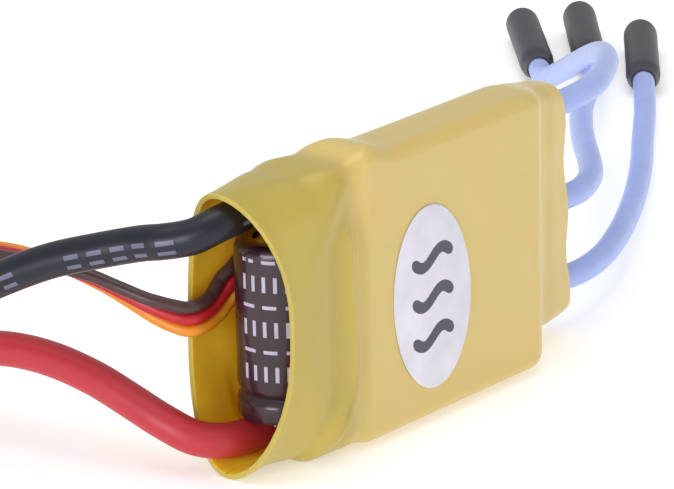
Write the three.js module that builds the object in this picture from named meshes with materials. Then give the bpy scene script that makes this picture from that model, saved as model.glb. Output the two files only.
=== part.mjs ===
// Brushless motor speed controller for a small electric model: a circuit board whose power transistors lie
// against a heat spreader, a storage capacitor across the battery end, and a heat-shrink sleeve over it all.
// Units are millimetres. +X runs from the battery end to the motor end, -Y is the labelled face, +Z is up.
// The controller stands on its long narrow edge with its leads laid out behind it.
import * as THREE from 'three';

// ---- driving dimensions -------------------------------------------------------------------------------
const MID_Z = 13.05;              // height of the board's centre line
const SLEEVE_WALL = 0.45;
const FACE_Y = -5.6;              // flat labelled face of the sleeve
const BACK_Y = 2.6;               // flat back of the sleeve, over the board
const BLOCK_HALF = 12.6;          // half the sleeve's width over the heat spreader
const BLOCK_X = [-9.9, 13.0];     // the flat block's two ends
const SLEEVE_X = [-21.9, 22.4];   // mouth and motor end of the sleeve
const MOUTH_BOW = { depth: 2.2, reach: 6 };    // how far the mouth's middle is cut back from its corners
const SCALLOP = { depth: 0.1, reach: 3 };      // how far the motor end draws back between its leads
const END_SLANT = 0.35;                        // half the slant of the motor end, cut a little askew
const BOARD = { x: [-10.3, 12.6, 16.6], y: [-1.5, -0.3], half: 11.4, tongue: 9.8 };
const SPREADER = { x: [-9.3, 12.4], y: [-5.05, -3.6], half: 11.4 };
const PAD = { y: [-3.55, -3.1], inset: 0.8 };
const FET = { size: [4.9, 1.5, 3.9], columns: [-5.6, 1.0, 7.6], rowPitch: 5.6, rows: 4 };
const SEAT = 0.03;                // the film of solder or paste between the board and what sits on it
const CAP = { x: -15.0, y: -0.6, bottom: 4.1, top: 19.5, radius: 4.0, wrap: 0.12, bead: 2.2 };
const BATTERY_LEAD = 3.0;         // outer diameters of the insulated leads
const MOTOR_LEAD = 2.25;
const SIGNAL_WIRE = 1.1;
const SIGNAL_PITCH = 1.12;
const MOTOR_ROWS = [20.7, 12.0, 4.4];   // heights of the motor leads where they are soldered
const SOCKET = { length: 17, shrink: 3.6, metal: 2.7, bore: 2.0, back: 1.5, mouth: 0.8, boreDepth: 8 };
const TIP = { diameter: 1.9, length: 6 };
const LABEL = { x: -1.9, z: 11.45, halfWidth: 5.0, halfHeight: 8.2, lean: 0.07, thickness: 0.12 };
const COIL = { x: -22.375, y: 53.5, eye: 4.6, pitch: 1.15, turns: 1.75, lift: 0.45 };
const COIL_RADIUS = COIL.eye + 2 * COIL.pitch * COIL.turns;
const TIE = { width: 2.0, thickness: 0.35, slack: 0.1 };
const PLUG = {
  length: 14, width: 7.7, thick: 2.7, pitch: 2.54, chamfer: 0.6, channel: 1.7, contact: 1.4,
  recess: [2.8, 0.8], gap: 10.7,
};

const part = new THREE.Group();

// ---- shared steps -------------------------------------------------------------------------------------
function addPart(name, geometry, color, roughness = 0.6, metalness = 0) {
  const mesh = new THREE.Mesh(geometry, new THREE.MeshStandardMaterial({ color, roughness, metalness }));
  mesh.name = name;
  part.add(mesh);
  return mesh;
}

function addBox(name, x, y, z, color, roughness, metalness) {
  const geometry = new THREE.BoxGeometry(x[1] - x[0], y[1] - y[0], z[1] - z[0]);
  geometry.translate((x[0] + x[1]) / 2, (y[0] + y[1]) / 2, (z[0] + z[1]) / 2);
  return addPart(name, geometry, color, roughness, metalness);
}

// A smooth route through hand-placed points.
function route(points) {
  const knots = points.map(([x, y, z]) => new THREE.Vector3(x, y, z));
  return new THREE.CatmullRomCurve3(knots, false, 'centripetal');
}

function circleShape(radius, sides) {
  const shape = new THREE.Shape();
  for (let i = 0; i < sides; i += 1) {
    const turn = (2 * Math.PI * i) / sides;
    shape[i ? 'lineTo' : 'moveTo'](radius * Math.cos(turn), radius * Math.sin(turn));
  }
  shape.closePath();
  return shape;
}

// A round lead along a curve, with flat ends and a step every couple of diameters.
function leadGeometry(curve, diameter, sides = 8) {
  const steps = Math.min(80, Math.ceil(curve.getLength() / (1.6 * diameter)));
  return new THREE.ExtrudeGeometry(circleShape(diameter / 2, sides), { steps, extrudePath: curve });
}

// A solid turned about +Z from [radius, height] pairs that start and end on the axis or close on themselves.
function turned(profile, segments = 32) {
  const outline = profile.map(([r, h]) => new THREE.Vector2(r, h));
  return new THREE.LatheGeometry(outline, segments).rotateX(Math.PI / 2);
}

// Turns geometry modelled along +Z so that it lies along a direction from a point.
function layAlong(geometry, from, direction) {
  const turn = new THREE.Quaternion().setFromUnitVectors(new THREE.Vector3(0, 0, 1), direction);
  return geometry.applyQuaternion(turn).translate(from.x, from.y, from.z);
}

// ---- heat-shrink sleeve ----------------------------------------------------------------------------------
// The sleeve is one thin wall lofted through sections. Each section is a box of front, back, low and high
// limits whose corners are quarter ellipses: almost an oval at the mouth, where it is drawn round the
// capacitor, sharp over the heat spreader, and low and flat over the motor leads.
const SECTIONS = [
  // x, front, back, low, high, front corner [y, z], back corner [y, z]
  [SLEEVE_X[0], -5.85, 5.85, 0.0, 24.75, [5.9, 10.6], [5.2, 9.0]],
  [-19.4, -5.85, 5.85, 0.1, 24.9, [5.5, 9.4], [5.0, 8.2]],
  [-17.0, -5.85, 5.75, 0.15, 25.05, [4.7, 7.2], [4.8, 7.4]],
  [-15.0, -5.85, 5.5, 0.05, 25.1, [3.8, 5.2], [4.6, 6.4]],
  [-13.5, -5.75, 5.2, 0.0, 25.25, [2.8, 3.4], [4.6, 5.6]],
  [-12.4, -5.4, 4.6, 0.0, 25.6, [2.1, 2.4], [4.4, 4.9]],
  [-11.3, -5.15, 3.85, 0.1, 26.05, [1.7, 1.8], [4.1, 4.5]],
  [-10.4, -5.35, 3.3, 0.3, 26.2, [1.5, 1.6], [3.9, 4.3]],
  [BLOCK_X[0], -5.52, 3.0, 0.4, 26.0, [1.35, 1.5], [4.0, 4.2]],
  [-9.2, FACE_Y, 2.75, MID_Z - BLOCK_HALF, MID_Z + BLOCK_HALF, [1.3, 1.3], [4.4, 4.2]],
  [-7.5, FACE_Y, BACK_Y, MID_Z - BLOCK_HALF, MID_Z + BLOCK_HALF, [1.3, 1.3], [4.4, 4.2]],
  [12.2, FACE_Y, BACK_Y, MID_Z - BLOCK_HALF, MID_Z + BLOCK_HALF, [1.3, 1.3], [4.4, 4.2]],
  [BLOCK_X[1], -5.45, BACK_Y, 0.55, 25.55, [1.35, 1.35], [4.4, 4.2]],
  [13.7, -5.0, BACK_Y, 0.8, 25.35, [1.4, 1.4], [4.2, 3.9]],
  [15.0, -3.75, BACK_Y, 1.3, 25.0, [1.4, 1.5], [3.4, 3.0]],
  [16.5, -2.6, BACK_Y, 1.65, 24.45, [1.4, 1.5], [2.2, 2.2]],
  [17.7, -2.1, BACK_Y, 1.65, 24.1, [1.4, 1.5], [1.8, 1.8]],
  [19.6, -1.8, BACK_Y, 1.6, 23.75, [1.5, 1.6], [1.6, 1.6]],
  [21.2, -1.5, 2.75, 1.6, 23.5, [1.6, 1.6], [1.5, 1.5]],
  [SLEEVE_X[1], -1.3, 2.85, 1.7, 23.3, [1.6, 1.6], [1.5, 1.5]],
];
const CORNER_STEPS = 8;
const SIDE_STEPS = 5;

// One closed ring of points round a section, drawn in by the wall for the inside.
function sleeveRing([x, front, back, low, high, nearCorner, farCorner], inset) {
  const corners = [
    [back - farCorner[0], high - farCorner[1], farCorner, 0],
    [front + nearCorner[0], high - nearCorner[1], nearCorner, 1],
    [front + nearCorner[0], low + nearCorner[1], nearCorner, 2],
    [back - farCorner[0], low + farCorner[1], farCorner, 3],
  ];
  const ring = [];
  corners.forEach(([cy, cz, size, quarter], index) => {
    for (let i = 0; i <= CORNER_STEPS; i += 1) {
      const turn = (Math.PI / 2) * (quarter + i / CORNER_STEPS);
      ring.push([cy + (size[0] - inset) * Math.cos(turn), cz + (size[1] - inset) * Math.sin(turn)]);
    }
    const [ny, nz, nextSize, nextQuarter] = corners[(index + 1) % 4];
    const start = ring[ring.length - 1];
    const turn = (Math.PI / 2) * nextQuarter;
    const end = [ny + (nextSize[0] - inset) * Math.cos(turn), nz + (nextSize[1] - inset) * Math.sin(turn)];
    for (let i = 1; i < SIDE_STEPS; i += 1) {
      const along = i / SIDE_STEPS;
      ring.push([start[0] + along * (end[0] - start[0]), start[1] + along * (end[1] - start[1])]);
    }
  });
  const mouthShare = Math.max(0, 1 - (x - SLEEVE_X[0]) / MOUTH_BOW.reach) ** 2;
  const motorShare = Math.max(0, 1 - (SLEEVE_X[1] - x) / SCALLOP.reach);
  const leadPitch = (MOTOR_ROWS[0] - MOTOR_ROWS[2]) / 2;
  return ring.map(([y, z]) => {
    const height = (z - (low + high) / 2) / ((high - low) / 2);
    const bow = MOUTH_BOW.depth * mouthShare * (1 - height * height);
    const wave = Math.cos(((z - MOTOR_ROWS[1]) / leadPitch) * 2 * Math.PI);
    const scallop = SCALLOP.depth * motorShare * (wave - 1);
    const slant = END_SLANT * motorShare * (height + 1);
    return new THREE.Vector3(x + bow + scallop - slant, y, z);
  });
}

// Skins a list of rings that close on themselves both round and along, which makes a wall with two rims.
function skinRings(rings) {
  const around = rings[0].length;
  const positions = rings.flat().flatMap((p) => [p.x, p.y, p.z]);
  const index = [];
  for (let r = 0; r < rings.length; r += 1) {
    const next = (r + 1) % rings.length;
    for (let i = 0; i < around; i += 1) {
      const j = (i + 1) % around;
      const [a, b, c, d] = [r * around + i, r * around + j, next * around + j, next * around + i];
      index.push(a, b, c, a, c, d);
    }
  }
  const geometry = new THREE.BufferGeometry();
  geometry.setAttribute('position', new THREE.Float32BufferAttribute(positions, 3));
  geometry.setIndex(index);
  geometry.computeVertexNormals();
  return geometry;
}

function buildSleeve() {
  const outside = SECTIONS.map((section) => sleeveRing(section, 0));
  const inside = SECTIONS.map((section) => sleeveRing(section, SLEEVE_WALL));
  addPart('heat_shrink_sleeve', skinRings([...outside, ...inside.reverse()]), 0xd2bb5c, 0.45);
}

// ---- label --------------------------------------------------------------------------------------------
function buildLabel() {
  const oval = new THREE.Shape();
  oval.absellipse(0, 0, LABEL.halfWidth, LABEL.halfHeight, 0, 2 * Math.PI, false, LABEL.lean);
  const options = { depth: LABEL.thickness, bevelEnabled: false, curveSegments: 48 };
  const sticker = new THREE.ExtrudeGeometry(oval, options);
  sticker.rotateX(Math.PI / 2);
  sticker.translate(LABEL.x, FACE_Y - 0.01, LABEL.z);
  addPart('oval_label', sticker, 0xdcdae8, 0.35);
}

// ---- circuit board and what sits on it ----------------------------------------------------------------
function buildBoard() {
  const span = (half) => [MID_Z - half, MID_Z + half];
  // The board narrows to a tongue that the motor leads are soldered to.
  const [start, step, end] = BOARD.x;
  const outline = new THREE.Shape([
    [start, -BOARD.half], [step, -BOARD.half], [step, -BOARD.tongue], [end, -BOARD.tongue],
    [end, BOARD.tongue], [step, BOARD.tongue], [step, BOARD.half], [start, BOARD.half],
  ].map(([x, z]) => new THREE.Vector2(x, z)));
  const board = new THREE.ExtrudeGeometry(outline, { depth: BOARD.y[1] - BOARD.y[0], bevelEnabled: false });
  addPart('circuit_board', board.rotateX(Math.PI / 2).translate(0, BOARD.y[1], MID_Z), 0x1f5a3a, 0.5);
  addBox('heat_spreader', SPREADER.x, SPREADER.y, span(SPREADER.half), 0xb9bcc0, 0.35, 1);
  const padX = [SPREADER.x[0] + PAD.inset, SPREADER.x[1] - PAD.inset];
  addBox('thermal_pad', padX, PAD.y, span(SPREADER.half - PAD.inset), 0x9fb4c8, 0.9);
  const [length, height, width] = FET.size;
  let number = 1;
  FET.columns.forEach((x) => {
    for (let row = 0; row < FET.rows; row += 1) {
      const z = MID_Z + (row - (FET.rows - 1) / 2) * FET.rowPitch;
      const spanX = [x - length / 2, x + length / 2];
      const spanY = [BOARD.y[0] - SEAT - height, BOARD.y[0] - SEAT];
      addBox(`mosfet_${number}`, spanX, spanY, [z - width / 2, z + width / 2], 0x1c1c1e, 0.6);
      number += 1;
    }
  });
  const back = (thick) => [BOARD.y[1] + SEAT, BOARD.y[1] + SEAT + thick];
  addBox('microcontroller', [-4.5, 2.5], back(1.0), [MID_Z - 3.5, MID_Z + 3.5], 0x222226, 0.55);
  addBox('resonator', [4.0, 7.2], back(0.9), [MID_Z - 0.7, MID_Z + 0.7], 0xc9c2ae, 0.4, 0.4);
  addBox('regulator_1', [-7.6, -3.1], back(1.5), [17.8, 20.4], 0x202024, 0.55);
  addBox('regulator_2', [-1.6, 2.9], back(1.5), [17.8, 20.4], 0x202024, 0.55);
}

// ---- storage capacitor --------------------------------------------------------------------------------
function buildCapacitor() {
  const { radius, wrap, bead, bottom, top } = CAP;
  const canRadius = radius - wrap - 0.02;
  const height = top - bottom;
  const can = [
    [0, 1.3], [canRadius - 0.45, 1.3], [canRadius - 0.45, 0.1], [canRadius - 0.1, 0.1], [canRadius, 0.5],
    [canRadius, bead - 0.6], [canRadius - 0.45, bead], [canRadius, bead + 0.6],
    [canRadius, height - 0.75], [canRadius - 0.25, height - 0.4], [canRadius - 0.7, height - 0.2],
    [0, height - 0.2],
  ];
  addPart('capacitor_can', turned(can, 40).translate(CAP.x, CAP.y, bottom), 0xc4c6ca, 0.3, 1);
  const skin = [
    [canRadius - 0.6, 0], [radius - 0.15, 0], [radius, 0.35], [radius, bead - 0.6], [radius - 0.45, bead],
    [radius, bead + 0.6], [radius, height - 0.7], [radius - 0.2, height - 0.3], [radius - 0.75, height],
    [radius - 1.6, height], [radius - 1.6, height - 0.15], [radius - 0.78, height - 0.16],
    [canRadius - 0.15, height - 0.38], [canRadius + 0.02, height - 0.74], [canRadius + 0.02, bead + 0.6],
    [canRadius - 0.43, bead], [canRadius + 0.02, bead - 0.6], [canRadius + 0.02, 0.48],
    [canRadius - 0.08, 0.07], [canRadius - 0.6, 0.07], [canRadius - 0.6, 0],
  ];
  addPart('capacitor_wrap', turned(skin, 40).translate(CAP.x, CAP.y, bottom), 0x452f36, 0.3);
  const bung = [[0, 0.15], [canRadius - 0.5, 0.15], [canRadius - 0.5, 1.25], [0, 1.25]];
  addPart('capacitor_bung', turned(bung, 24).translate(CAP.x, CAP.y, bottom), 0x26262a, 0.8);
  const legs = {
    capacitor_lead_negative: [
      [-13.25, -0.6, 4.2], [-13.2, -1.0, 3.3], [-12.2, -1.8, 3.1], [-9.0, -1.87, 3.2],
    ],
    capacitor_lead_positive: [
      [-16.75, -0.6, 4.2], [-16.6, -1.2, 3.2], [-14.5, -2.8, 3.1], [-11.6, -2.8, 3.1], [-9.0, -1.87, 4.1],
    ],
  };
  Object.entries(legs).forEach(([name, points]) => {
    addPart(name, leadGeometry(route(points), 0.6, 8), 0xc9ccd0, 0.3, 1);
  });
}

// A mound of solder over a lead's bared strands, on the back of the board.
function addSolder(name, x, z) {
  const mound = turned([[0, 0], [1.3, 0], [1.2, 0.8], [0.75, 1.4], [0, 1.6]], 16).rotateX(-Math.PI / 2);
  mound.scale(1.4, 1, 0.9).translate(x, BOARD.y[1] + SEAT, z);
  addPart(name, mound, 0xb5b8bd, 0.3, 1);
}

// ---- battery leads ------------------------------------------------------------------------------------
const BLACK_LEAD = [
  [-10.7, 0.9, 22.3], [-14, 0.6, 22.35], [-18, 0.1, 22.4], [-20.6, 0.1, 22.25], [-22.2, 0.5, 21.9],
  [-23.3, 1.4, 21.3], [-23.9, 2.3, 21], [-24.7, 3.7, 20.7], [-25.2, 5.6, 20.3], [-26.6, 9.2, 19.3],
  [-28.1, 13.2, 18], [-29.8, 17.4, 16], [-31.8, 22, 13.4], [-34.2, 27.5, 9.9], [-37, 33, 6.2],
  [-40.5, 38.6, 3.2], [-45, 43.3, 1.75], [-51, 46.8, 1.55], [-58, 48.6, 1.55], [-65.5, 48.9, 1.55],
  [-72.5, 48.2, 1.55],
];
const RED_LEAD = [
  [-11.2, 0.8, 2.65], [-12.6, 0.8, 2.45], [-15.5, 0.8, 2.45], [-18.5, 0.9, 2.5], [-20.7, 1.3, 2.7],
  [-22.6, 2.8, 3.2], [-23.7, 5.2, 4.35], [-24.2, 8.5, 5.65], [-24.6, 12.2, 6.9], [-25.2, 17, 7.8],
  [-26, 21.7, 7.8],
  [-27.3, 26.8, 6.7], [-29.3, 32, 4.9], [-32, 37.2, 3], [-35.5, 42.3, 1.8], [-40, 47.6, 1.55],
  [-45.5, 52.4, 1.55], [-52, 56, 1.55], [-59, 58, 1.55], [-66, 58.6, 1.55],
];

function buildBatteryLead(colour, points, padZ, hex) {
  const curve = route(points);
  addPart(`battery_lead_${colour}`, leadGeometry(curve, BATTERY_LEAD), hex, 0.4);
  const end = curve.getPointAt(1);
  const direction = curve.getTangentAt(1);
  const tip = turned([[0, 0], [TIP.diameter / 2, 0], [TIP.diameter / 2, TIP.length - 0.3],
    [TIP.diameter / 2 - 0.3, TIP.length], [0, TIP.length]], 12);
  const tipStart = end.addScaledVector(direction, 0.02);
  addPart(`battery_tip_${colour}`, layAlong(tip, tipStart, direction), 0xc5c8cc, 0.35, 1);
  // The bared strands lie on the board's pad under a mound of solder.
  addSolder(`battery_solder_${colour}`, -8.0, padZ);
}

// ---- motor leads and their bullet sockets -------------------------------------------------------------
const MOTOR_ROUTES = [
  [
    [16.9, 0.98, 20.7], [22, 0.98, 20.7], [26, 1, 20.75], [30, 1.9, 20.7], [34, 4, 20.3], [39.8, 7.9, 19.3],
    [45.9, 12.8, 17.6], [52.2, 18.3, 15.3], [58.4, 24.1, 12.5], [64.3, 29.9, 9.5], [69.4, 35.2, 6.7],
    [73.2, 39.6, 4.3], [75.6, 42.7, 2.7], [77.2, 45, 1.95], [79.1, 46.9, 1.8],
  ],
  [
    [16.9, 0.98, 12], [22, 0.98, 11.85], [27, 1.35, 11.6], [32, 3.8, 11.2], [36.5, 7.4, 10.8],
    [41.7, 12, 10.2], [47.6, 16.9, 9.4], [54.6, 22.3, 8.2], [62.4, 27.9, 6.6], [70.2, 33.3, 4.8],
    [76.3, 37.6, 3.2], [80.3, 40.8, 2.1], [82.4, 42.5, 1.85], [84.2, 44.1, 1.8],
  ],
  [
    [16.9, 0.98, 4.4], [22, 0.98, 4.3], [27, 1.05, 4.1], [31.9, 2.5, 3.8], [37.9, 5.4, 3.3], [45.1, 9.5, 2.7],
    [52.9, 14.4, 2.1], [60.7, 19.7, 1.6], [68.1, 25.1, 1.3], [74.8, 29.9, 1.35], [78.6, 32.8, 1.6],
    [81.9, 35.4, 1.8],
  ],
];

function buildMotorLead(number, points) {
  const curve = route(points);
  addPart(`motor_lead_${number}`, leadGeometry(curve, MOTOR_LEAD), 0x8ea3e4, 0.4);
  const direction = curve.getTangentAt(1).setZ(0).normalize();
  const start = curve.getPointAt(1).addScaledVector(direction, 0.3);
  const { length, shrink, metal, bore, back, mouth, boreDepth } = SOCKET;
  // The shrink is open at both ends: narrow round the lead, wide round the socket, proud of its mouth.
  const sleeve = [[metal / 2 + 0.03, 0], [shrink / 2 - 0.2, 0], [shrink / 2, 0.7], [shrink / 2, length],
    [metal / 2 + 0.03, length], [metal / 2 + 0.03, 0]];
  addPart(`socket_shrink_${number}`, layAlong(turned(sleeve, 20), start, direction), 0x3c3946, 0.5);
  const end = length - mouth;
  const socket = [[0, back], [metal / 2, back], [metal / 2, end], [bore / 2, end],
    [bore / 2, end - boreDepth], [0, end - boreDepth]];
  addPart(`bullet_socket_${number}`, layAlong(turned(socket, 20), start, direction), 0xd8b45a, 0.25, 1);
  addSolder(`motor_solder_${number}`, 14.3, points[0][2]);
}

// ---- signal lead: three wires, one above the other, to a coil and a servo plug ---------------------------
// The middle wire's route, with how far the ribbon has rolled over at each point, in degrees.
const SIGNAL_ROUTE = [
  [-7.5, 0.5, 15.2, 0], [-9.4, 0.85, 15.3, 0], [-11.1, 2.35, 15.8, 0], [-12.8, 3.6, 15.9, 0],
  [-14.6, 4.12, 15.5, 0], [-15.9, 4.15, 14.8, 0], [-16.8, 4.35, 14, 0], [-17.9, 4.4, 13.15, 0],
  [-19, 4.4, 12.75, 4], [-20, 4.6, 12.55, 9], [-20.6, 5.15, 12.5, 14], [-21.2, 6.1, 12.75, 20],
  [-22.1, 7.9, 13.4, 33], [-22.7, 10.1, 14.2, 42], [-23.1, 12.5, 14.9, 50], [-23.5, 14.2, 15.3, 58],
  [-24, 16.3, 15.7, 68], [-24.4, 18.4, 15.9, 76], [-24.7, 21, 16, 84], [-25, 24, 15.8, 86],
  [-25.6, 27.5, 15, 76], [-26.9, 31, 12.9, 56], [-28.4, 34.5, 10.1, 32], [-29.6, 38.2, 7.1, 12],
  [-30.4, 42, 4.4, 0], [-30.9, 45.2, 2.75, 0], [-31, 48, 2.15, 0],
];
const WIRES = [['brown', 1, 0x4a2f2e], ['red', 0, 0xc21d22], ['orange', -1, 0xdb8a14]];

// A curve beside a rolling route, at a fixed distance square to it, so that the wires stay side by side.
function besideRoute(points, offset) {
  const middle = route(points);
  const beside = [];
  const stepsEach = 3;
  for (let i = 0; i <= stepsEach * (points.length - 1); i += 1) {
    const index = Math.min(Math.floor(i / stepsEach), points.length - 2);
    const share = i / stepsEach - index;
    const roll = THREE.MathUtils.degToRad(points[index][3] * (1 - share) + points[index + 1][3] * share);
    const t = i / (stepsEach * (points.length - 1));
    const along = middle.getTangent(t);
    const upright = new THREE.Vector3(0, 0, 1).addScaledVector(along, -along.z).normalize();
    const across = upright.clone().multiplyScalar(Math.cos(roll));
    across.addScaledVector(upright.clone().cross(along), Math.sin(roll));
    beside.push(middle.getPoint(t).addScaledVector(across, offset).toArray());
  }
  return route(beside);
}

function buildSignalLead() {
  const middle = COIL.lift + SIGNAL_PITCH + SIGNAL_WIRE / 2;
  const discRadius = COIL_RADIUS + COIL.pitch / 2 + SIGNAL_WIRE / 2;
  const tailY = COIL.y + COIL_RADIUS + COIL.pitch / 2;
  WIRES.forEach(([colour, place, hex]) => {
    const coilZ = middle + place * SIGNAL_PITCH;
    const plugZ = PLUG.width / 2 + place * PLUG.pitch;
    const wire = leadGeometry(besideRoute(SIGNAL_ROUTE, place * SIGNAL_PITCH), SIGNAL_WIRE);
    addPart(`signal_wire_${colour}`, wire, hex, 0.45);
    // The coil is wound from its middle, so both ends leave on the outside; the tie goes through its eye.
    const disc = new THREE.Shape();
    disc.absarc(0, 0, discRadius, 0, 2 * Math.PI);
    const eye = new THREE.Path();
    eye.absarc(0, -COIL.eye / 2, COIL.eye / 2 - SIGNAL_WIRE / 2, 0, 2 * Math.PI, true);
    disc.holes.push(eye);
    const options = { depth: SIGNAL_WIRE, bevelEnabled: false, curveSegments: 16 };
    const coil = new THREE.ExtrudeGeometry(disc, options);
    coil.translate(COIL.x, COIL.y, coilZ - SIGNAL_WIRE / 2);
    addPart(`signal_coil_${colour}`, coil, hex, 0.45);
    const tail = route([
      [COIL.x - 5.2, tailY, coilZ], [COIL.x - 7, tailY, coilZ + 0.3 * (plugZ - coilZ)],
      [COIL.x - 9.2, tailY, plugZ], [COIL.x - PLUG.gap - 1, tailY, plugZ],
    ]);
    addPart(`signal_tail_${colour}`, leadGeometry(tail, SIGNAL_WIRE), hex, 0.45);
  });
  buildTie(middle);
  buildPlug(tailY);
}

// A band through the coil's eye and round its turns.
function buildTie(middle) {
  const top = middle + SIGNAL_PITCH + SIGNAL_WIRE / 2 + TIE.slack;
  const far = COIL.y - COIL_RADIUS - SIGNAL_WIRE / 2 - COIL.pitch / 2 - TIE.slack - 0.2;
  const near = COIL.y - COIL.eye / 2 - 0.6;
  const t = TIE.thickness;
  const rectangle = (low, high, bottom, roof) => [[low, bottom], [high, bottom], [high, roof], [low, roof]]
    .map(([y, z]) => new THREE.Vector2(y, z));
  const band = new THREE.Shape(rectangle(far - t, near + t, COIL.lift - TIE.slack - t + 0.02, top + t));
  band.holes.push(new THREE.Path(rectangle(far, near, COIL.lift - TIE.slack + 0.02, top).reverse()));
  const tie = new THREE.ExtrudeGeometry(band, { depth: TIE.width, bevelEnabled: false });
  // The profile's own axes are y and z, and its depth runs along x.
  const stand = new THREE.Matrix4().set(0, 0, 1, COIL.x - TIE.width / 2, 1, 0, 0, 0, 0, 1, 0, 0, 0, 0, 0, 1);
  tie.applyMatrix4(stand);
  addPart('coil_tie', tie, 0x1a1a1c, 0.5);
}

// The servo plug: a flat housing with three square channels, a crimped contact in each.
function buildPlug(y) {
  const face = new THREE.Shape();
  const { thick, width, chamfer, channel, contact, recess, pitch, length, gap } = PLUG;
  const edge = thick / 2;
  face.moveTo(-edge, chamfer).lineTo(-edge + chamfer, 0).lineTo(edge - chamfer, 0).lineTo(edge, chamfer);
  face.lineTo(edge, width).lineTo(-edge, width).closePath();
  const square = (size, z) => [[-1, -1], [1, -1], [1, 1], [-1, 1]]
    .map(([u, v]) => new THREE.Vector2((u * size) / 2, z + (v * size) / 2));
  const middles = [-1, 0, 1].map((place) => width / 2 + place * pitch);
  middles.forEach((z) => face.holes.push(new THREE.Path(square(channel, z).reverse())));
  // Both profiles are drawn in y and z, and run along -x from the wire end.
  const place = (geometry, from) => geometry.applyMatrix4(
    new THREE.Matrix4().set(0, 0, -1, from, -1, 0, 0, y, 0, 1, 0, 0, 0, 0, 0, 1));
  const housing = new THREE.ExtrudeGeometry(face, { depth: length, bevelEnabled: false });
  addPart('servo_plug', place(housing, COIL.x - gap), 0x1e1e20, 0.5);
  const pinLength = length - recess[0] - recess[1];
  middles.forEach((z, index) => {
    const outline = new THREE.Shape(square(contact, z));
    const pin = new THREE.ExtrudeGeometry(outline, { depth: pinLength, bevelEnabled: false });
    addPart(`plug_contact_${index + 1}`, place(pin, COIL.x - gap - recess[0]), 0xd8b45a, 0.3, 1);
  });
}

buildSleeve();
buildLabel();
buildBoard();
buildCapacitor();
buildBatteryLead('black', BLACK_LEAD, 22.3, 0x2e2d33);
buildBatteryLead('red', RED_LEAD, 3.6, 0xc8323a);
MOTOR_ROUTES.forEach((points, index) => buildMotorLead(index + 1, points));
buildSignalLead();

export default part;
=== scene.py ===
"""A small brushless speed controller on its long edge on a pale floor, with its leads laid out behind it."""
import math

import bmesh
import bpy
from mathutils import Matrix, Vector, noise


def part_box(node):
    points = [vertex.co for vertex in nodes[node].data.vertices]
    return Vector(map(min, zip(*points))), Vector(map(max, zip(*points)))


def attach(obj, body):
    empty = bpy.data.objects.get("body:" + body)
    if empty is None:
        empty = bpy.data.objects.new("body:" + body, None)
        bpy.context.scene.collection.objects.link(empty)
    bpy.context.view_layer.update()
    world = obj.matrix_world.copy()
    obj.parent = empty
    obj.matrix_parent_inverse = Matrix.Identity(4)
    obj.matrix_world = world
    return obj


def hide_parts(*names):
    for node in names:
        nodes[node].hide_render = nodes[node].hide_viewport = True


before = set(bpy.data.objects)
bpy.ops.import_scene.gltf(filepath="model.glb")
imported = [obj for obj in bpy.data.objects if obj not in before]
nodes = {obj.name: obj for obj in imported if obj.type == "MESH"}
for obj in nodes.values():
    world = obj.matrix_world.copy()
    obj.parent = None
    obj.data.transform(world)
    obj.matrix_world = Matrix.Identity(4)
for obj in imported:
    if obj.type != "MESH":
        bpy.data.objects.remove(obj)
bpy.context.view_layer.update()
bpy.ops.object.select_all(action="DESELECT")

# ---- camera ------------------------------------------------------------------------------------------------
# A long lens, as for a small product: it looks down a little, into the open battery end and along the
# labelled face.
mm = 0.001
camera_azimuth = math.radians(-48.9)
camera_elevation = math.radians(19.2)
camera_roll = math.radians(-1.36)
camera_aim = Vector((-11.36, -3.42, 18.24)) * mm
camera_distance = 377 * mm
camera_turn = (
    Matrix.Rotation(camera_azimuth, 4, "Z")
    @ Matrix.Rotation(math.pi / 2 - camera_elevation, 4, "X")
    @ Matrix.Rotation(camera_roll, 4, "Z")
)
camera = bpy.data.objects.new("camera", bpy.data.cameras.new("camera"))
camera.data.lens = 244.7
camera.data.sensor_width = 36
camera.data.clip_start = 0.02
camera.data.clip_end = 20
camera_turn_at_aim = Matrix.Translation(camera_aim) @ camera_turn
camera.matrix_world = camera_turn_at_aim @ Matrix.Translation((0, 0, camera_distance))
bpy.context.collection.objects.link(camera)
bpy.context.scene.camera = camera

# ---- battery leads -----------------------------------------------------------------------------------------
# Two 16 gauge leads of fine tinned copper strands in silicone, black at the top and red at the bottom. They
# leave the open end beside the capacitor, sag to the floor and end bare, tinned for the owner's own plug.
smooth_steps = 8
lead_diameter = 3.0 * mm
tip_length = 6 * mm
tip_radius = 0.95 * mm
black_route = [
    (-10.7, 0.9, 22.3), (-14, 0.6, 22.35), (-18, 0.1, 22.4), (-20.6, 0.1, 22.25), (-22.2, 0.5, 21.9),
    (-23.3, 1.4, 21.3), (-23.9, 2.3, 21), (-24.7, 3.7, 20.7), (-25.2, 5.6, 20.3), (-26.6, 9.2, 19.3),
    (-28.1, 13.2, 18), (-29.8, 17.4, 16), (-31.8, 22, 13.4), (-34.2, 27.5, 9.9), (-37, 33, 6.2),
    (-40.5, 38.6, 3.2), (-45, 43.3, 1.75), (-51, 46.8, 1.55), (-58, 48.6, 1.55), (-65.5, 48.9, 1.55),
    (-72.5, 48.2, 1.55),
]
red_route = [
    (-11.2, 0.8, 2.65), (-12.6, 0.8, 2.45), (-15.5, 0.8, 2.45), (-18.5, 0.9, 2.5), (-20.7, 1.3, 2.7),
    (-22.6, 2.8, 3.2), (-23.7, 5.2, 4.35), (-24.2, 8.5, 5.65), (-24.6, 12.2, 6.9), (-25.2, 17, 7.8),
    (-26, 21.7, 7.8), (-27.3, 26.8, 6.7), (-29.3, 32, 4.9), (-32, 37.2, 3), (-35.5, 42.3, 1.8),
    (-40, 47.6, 1.55), (-45.5, 52.4, 1.55), (-52, 56, 1.55), (-59, 58, 1.55), (-66, 58.6, 1.55),
]


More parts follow.
